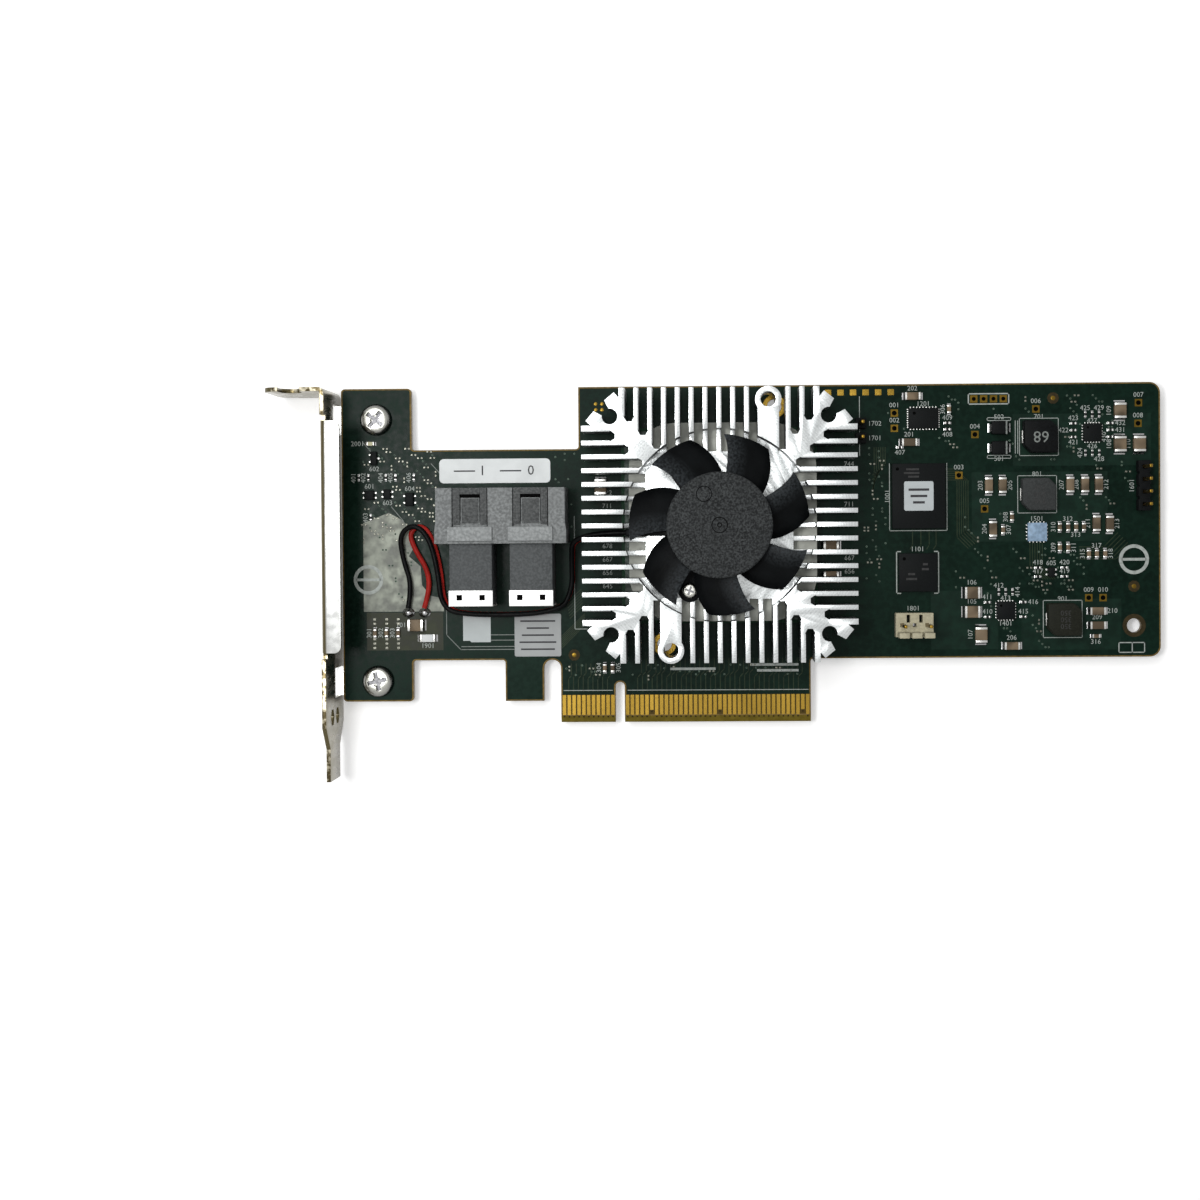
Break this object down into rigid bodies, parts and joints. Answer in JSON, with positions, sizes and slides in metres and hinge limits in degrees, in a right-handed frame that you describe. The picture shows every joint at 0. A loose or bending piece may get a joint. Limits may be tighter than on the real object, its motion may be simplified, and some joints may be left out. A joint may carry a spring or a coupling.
{
  "type": "host bus adapter",
  "caption": "Low-profile plug-in card with a slot bracket, a fan-cooled finned heat sink over its controller, internal cable ports and power parts on a green board.",
  "frame": {"origin": "middle of the key notch, at the edge of the contact tongue, half way through the board", "axes": "+X to the far end of the board, away from the bracket; +Y away from the slot; +Z the component side"},
  "size_m": [0.1807, 0.0798, 0.0186],
  "materials": {
    "board": "dark green solder mask, satin",
    "gold": "gold plate, bright",
    "zinc_steel": "bright plated sheet",
    "screw_steel": "bright plated",
    "substrate": "green laminate",
    "lid_metal": "nickel plate, satin",
    "pad": "soft grey pad",
    "sink_aluminium": "bare, bright",
    "black_plastic": "moulded, fine grain",
    "fan_iron": "laminated sheet",
    "copper": "enamelled copper",
    "bronze": "sintered sleeve",
    "magnet": "bonded magnet",
    "wire_black": "insulation, satin",
    "wire_red": "insulation, satin",
    "solder": "bright solder",
    "shroud_plastic": "moulded, grained grey",
    "body_plastic": "moulded dark grey",
    "label": "pale film label",
    "paper": "white paper",
    "chip_black": "moulded black",
    "chip_blue": "pale blue, shiny",
    "tin": "tinned",
    "coil_black": "pressed iron powder",
    "coil_grey": "pressed iron powder",
    "coil_olive": "pressed iron powder",
    "tantalum": "moulded black",
    "ceramic_brown": "ceramic, tinned ends",
    "resistor_black": "black film, tinned ends",
    "fuse_white": "white ceramic",
    "light": "clear lens",
    "ivory_plastic": "ivory moulding"
  },
  "bodies": {
    "card": {"circuit_board": "board", "edge_contacts": "gold", "bracket": "zinc_steel", "bracket_screws": "screw_steel", "controller_substrate": "substrate", "controller_lid": "lid_metal", "thermal_pad": "pad", "heat_sink": "sink_aluminium", "fan_base": "black_plastic", "fan_bearing": "bronze", "fan_stator": "fan_iron", "fan_coils": "copper", "fan_screws": "screw_steel", "fan_wire_black": "wire_black", "fan_wire_red": "wire_red", "wire_joints": "solder", "port_shroud": "shroud_plastic", "port_body_0": "body_plastic", "port_contacts_0": "gold", "port_clip_0": "tin", "port_body_1": "body_plastic", "port_contacts_1": "gold", "port_clip_1": "tin", "port_label": "label", "board_label": "label", "memory_chip": "chip_black", "memory_paper": "paper", "flash_chip": "chip_black", "clock_chip": "chip_black", "power_chip_1": "chip_black", "power_chip_2": "chip_black", "power_stage": "chip_blue", "small_chips": "chip_black", "small_chip_leads": "tin", "inductor_1": "coil_black", "inductor_2": "coil_grey", "inductor_3": "coil_olive", "inductor_terminals": "tin", "tantalum_capacitors": "tantalum", "bulk_capacitors": "ceramic_brown", "filter_capacitors": "ceramic_brown", "bypass_capacitors": "ceramic_brown", "chip_resistors": "resistor_black", "fuse": "fuse_white", "status_light": "light", "service_header": "black_plastic", "service_pins": "gold", "jumper_header": "black_plastic", "jumper_pins": "gold", "fan_header": "ivory_plastic", "fan_header_pins": "gold"},
    "rotor": {"fan_rotor": "black_plastic", "fan_shaft": "screw_steel", "fan_magnet": "magnet"}
  },
  "joints": [
    {"name": "fan_spin", "type": "hinge", "parent": "card", "child": "rotor", "pos_m": [0.0206, 0.0403, 0.00709], "axis": [0, 0, 1], "continuous": true}
  ]
}
